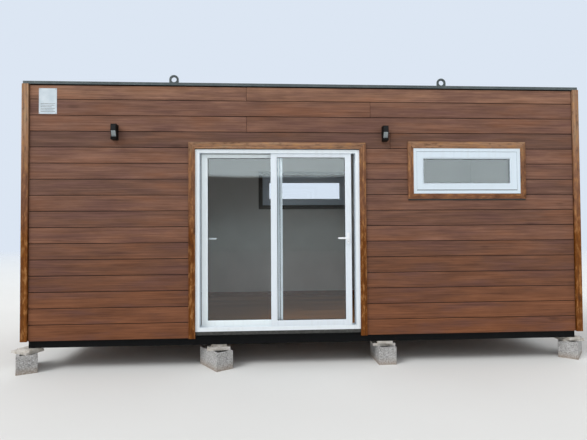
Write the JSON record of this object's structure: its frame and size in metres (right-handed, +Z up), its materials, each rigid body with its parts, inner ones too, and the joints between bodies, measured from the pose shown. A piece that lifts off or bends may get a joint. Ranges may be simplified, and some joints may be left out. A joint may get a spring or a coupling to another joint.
{
  "type": "shipping container cabin",
  "caption": "Flat-roofed cabin on a steel container base, clad in brown boards, with a glazed sliding door, high windows and lifting eyes, standing on concrete blocks.",
  "frame": {"origin": "on the ground below the middle of the cabin", "axes": "+X along the long front towards the window end, -Y out of the front with the door, +Z up"},
  "size_m": [6.5788, 2.7972, 3.2129],
  "materials": {
    "timber_board": "oiled softwood boards, brown, a little weathered",
    "pale_timber": "oiled softwood trim boards, warm brown",
    "dark_timber": "dark stained inner casing and skirting",
    "floor_board": "brown floor boards",
    "wall_panel": "white coated sandwich panel",
    "white_plastic": "white window and door profiles",
    "base_steel": "black paint",
    "grey_metal": "grey coated sheet",
    "roof_sheet": "light grey coated sheet",
    "clear_glass": "clear sealed glass unit",
    "handle_metal": "white lacquered lever and plate",
    "roller_plastic": "nylon rollers in steel cheeks",
    "light_housing": "anthracite housing",
    "light_lens": "frosted lens",
    "concrete": "grey concrete"
  },
  "bodies": {
    "cabin": {"base_side_rails": "base_steel", "base_end_rails": "base_steel", "base_joists": "base_steel", "floor_deck": "floor_board", "front_wall_left": "wall_panel", "front_wall_right": "wall_panel", "front_wall_over_door": "wall_panel", "back_wall": "wall_panel", "left_wall": "wall_panel", "right_wall": "wall_panel", "front_cladding_left": "timber_board", "front_cladding_right": "timber_board", "front_cladding_over_door": "timber_board", "back_cladding": "timber_board", "left_cladding": "timber_board", "right_cladding": "timber_board", "corner_trims": "pale_timber", "door_trim": "pale_timber", "door_frame": "white_plastic", "door_sill_flashing": "grey_metal", "window_frames": "white_plastic", "window_sashes": "white_plastic", "window_glass": "clear_glass", "window_trims": "pale_timber", "inner_casings": "dark_timber", "wall_lights": "light_housing", "wall_light_lenses": "light_lens", "roof_panel": "roof_sheet", "roof_ribs": "roof_sheet", "roof_edging": "grey_metal", "ceiling": "wall_panel", "lifting_lugs": "grey_metal", "support_blocks": "concrete", "levelling_plates": "concrete", "skirting_boards": "dark_timber"},
    "left_sash": {"left_sash_frame": "white_plastic", "left_sash_glass": "clear_glass", "left_sash_rollers": "roller_plastic", "left_handle_plate": "handle_metal"},
    "left_handle": {"left_lever": "handle_metal"},
    "right_sash": {"right_sash_frame": "white_plastic", "right_sash_glass": "clear_glass", "right_sash_rollers": "roller_plastic", "right_handle_plate": "handle_metal"},
    "right_handle": {"right_lever": "handle_metal"}
  },
  "joints": [
    {"name": "right_sash_slide", "type": "slide", "parent": "cabin", "child": "right_sash", "axis": [-1, 0, 0], "range_m": [-0.061, 0.79]},
    {"name": "left_sash_slide", "type": "slide", "parent": "cabin", "child": "left_sash", "axis": [-1, 0, 0], "range_m": [-0.825, 0.027]},
    {"name": "right_lever_turn", "type": "hinge", "parent": "right_sash", "child": "right_handle", "pos_m": [0.421, -1.246, 1.396], "axis": [0, -1, 0], "range_deg": [0, 90]},
    {"name": "left_lever_turn", "type": "hinge", "parent": "left_sash", "child": "left_handle", "pos_m": [-1.165, -1.156, 1.396], "axis": [0, 1, 0], "range_deg": [0, 90]}
  ]
}
